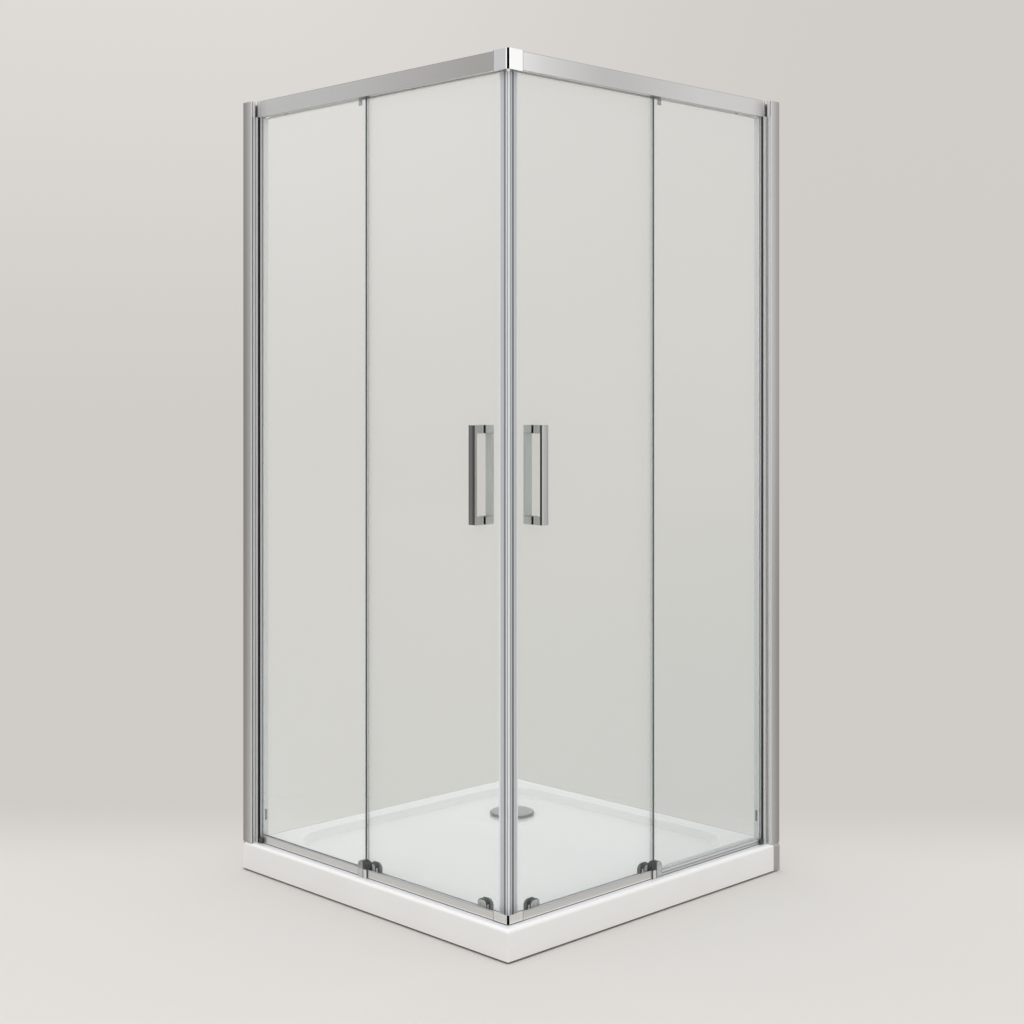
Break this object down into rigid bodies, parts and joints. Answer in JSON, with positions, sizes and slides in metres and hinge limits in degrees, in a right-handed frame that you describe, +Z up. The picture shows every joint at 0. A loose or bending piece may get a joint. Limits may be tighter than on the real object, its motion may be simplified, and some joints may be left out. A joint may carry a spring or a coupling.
{
  "type": "corner shower enclosure",
  "caption": "Square corner shower enclosure: low tray, fixed glass panes and framed sliding glass doors that meet at the entry corner with magnetic seals.",
  "frame": {"origin": "floor level under the middle of the square tray", "axes": "+Z up; the bathroom walls stand at -X and +Y, and the doors meet at the corner at +X and -Y"},
  "size_m": [1, 1, 2.025],
  "materials": {
    "tray_acrylic": "glossy white acrylic",
    "base_board": "raw chipboard",
    "foot_plastic": "moulded black plastic",
    "trim_grey": "matt grey",
    "waste_steel": "satin stainless steel",
    "waste_plastic": "moulded white plastic",
    "black_rubber": "matt black rubber",
    "polished_chrome": "polished chrome",
    "satin_aluminium": "satin silver anodised",
    "dark_plastic": "moulded dark grey plastic",
    "screw_steel": "plain stainless steel",
    "clear_glass": "clear toughened glass with ground edges",
    "clear_seal": "clear flexible plastic",
    "magnet_rubber": "matt dark magnetic rubber",
    "handle_metal": "polished metal",
    "wheel_plastic": "hard white plastic",
    "guide_plastic": "textured light grey plastic"
  },
  "bodies": {
    "base": {"tray": "tray_acrylic", "tray_base_board": "base_board", "tray_feet": "foot_plastic", "apron_end_trim": "trim_grey", "waste_cover": "waste_steel", "waste_body": "waste_plastic", "waste_gasket": "black_rubber", "waste_lock_nut": "waste_plastic", "top_corner_connector": "polished_chrome", "bottom_corner_connector": "polished_chrome", "top_clips": "satin_aluminium", "foot_blocks": "dark_plastic", "frame_screws": "screw_steel", "door_stops": "dark_plastic", "left_wall_profile": "satin_aluminium", "left_side_post": "satin_aluminium", "left_pane_gasket": "black_rubber", "left_top_rail": "satin_aluminium", "left_bottom_rail": "satin_aluminium", "left_pane_sill": "satin_aluminium", "left_fixed_pane": "clear_glass", "left_pane_edge_seal": "clear_seal", "left_pane_clip": "polished_chrome", "right_wall_profile": "satin_aluminium", "right_side_post": "satin_aluminium", "right_pane_gasket": "black_rubber", "right_top_rail": "satin_aluminium", "right_bottom_rail": "satin_aluminium", "right_pane_sill": "satin_aluminium", "right_fixed_pane": "clear_glass", "right_pane_edge_seal": "clear_seal", "right_pane_clip": "polished_chrome"},
    "left_door": {"left_door_glass": "clear_glass", "left_magnetic_seal": "clear_seal", "left_magnet_strip": "magnet_rubber", "left_rear_seal": "clear_seal", "left_handle_outer": "handle_metal", "left_handle_inner": "handle_metal", "left_handle_gaskets": "black_rubber", "left_handle_bolts": "screw_steel", "left_roller_axles": "screw_steel", "left_roller_caps": "satin_aluminium", "left_guide_caps": "guide_plastic", "left_guide_blocks": "guide_plastic"},
    "left_front_roller": {"left_front_wheel": "wheel_plastic"},
    "left_rear_roller": {"left_rear_wheel": "wheel_plastic"},
    "right_door": {"right_door_glass": "clear_glass", "right_magnetic_seal": "clear_seal", "right_magnet_strip": "magnet_rubber", "right_rear_seal": "clear_seal", "right_handle_outer": "handle_metal", "right_handle_inner": "handle_metal", "right_handle_gaskets": "black_rubber", "right_handle_bolts": "screw_steel", "right_roller_axles": "screw_steel", "right_roller_caps": "satin_aluminium", "right_guide_caps": "guide_plastic", "right_guide_blocks": "guide_plastic"},
    "right_front_roller": {"right_front_wheel": "wheel_plastic"},
    "right_rear_roller": {"right_rear_wheel": "wheel_plastic"}
  },
  "joints": [
    {"name": "left_door_slide", "type": "slide", "parent": "base", "child": "left_door", "axis": [-1, 0, 0], "range_m": [0, 0.36]},
    {"name": "left_front_wheel_spin", "type": "hinge", "parent": "left_door", "child": "left_front_roller", "pos_m": [0.377, -0.44245, 1.9938], "axis": [0, -1, 0], "continuous": true},
    {"name": "left_rear_wheel_spin", "type": "hinge", "parent": "left_door", "child": "left_rear_roller", "pos_m": [-0.015, -0.44245, 1.9938], "axis": [0, -1, 0], "continuous": true},
    {"name": "right_door_slide", "type": "slide", "parent": "base", "child": "right_door", "axis": [0, 1, 0], "range_m": [0, 0.36]},
    {"name": "right_front_wheel_spin", "type": "hinge", "parent": "right_door", "child": "right_front_roller", "pos_m": [0.44245, -0.377, 1.9938], "axis": [-1, 0, 0], "continuous": true},
    {"name": "right_rear_wheel_spin", "type": "hinge", "parent": "right_door", "child": "right_rear_roller", "pos_m": [0.44245, 0.015, 1.9938], "axis": [-1, 0, 0], "continuous": true}
  ],
  "couplings": [
    {"joint": "left_front_wheel_spin", "follows": "left_door_slide", "rad_per_m": 111.11},
    {"joint": "left_rear_wheel_spin", "follows": "left_door_slide", "rad_per_m": 111.11},
    {"joint": "right_front_wheel_spin", "follows": "right_door_slide", "rad_per_m": 111.11},
    {"joint": "right_rear_wheel_spin", "follows": "right_door_slide", "rad_per_m": 111.11}
  ]
}
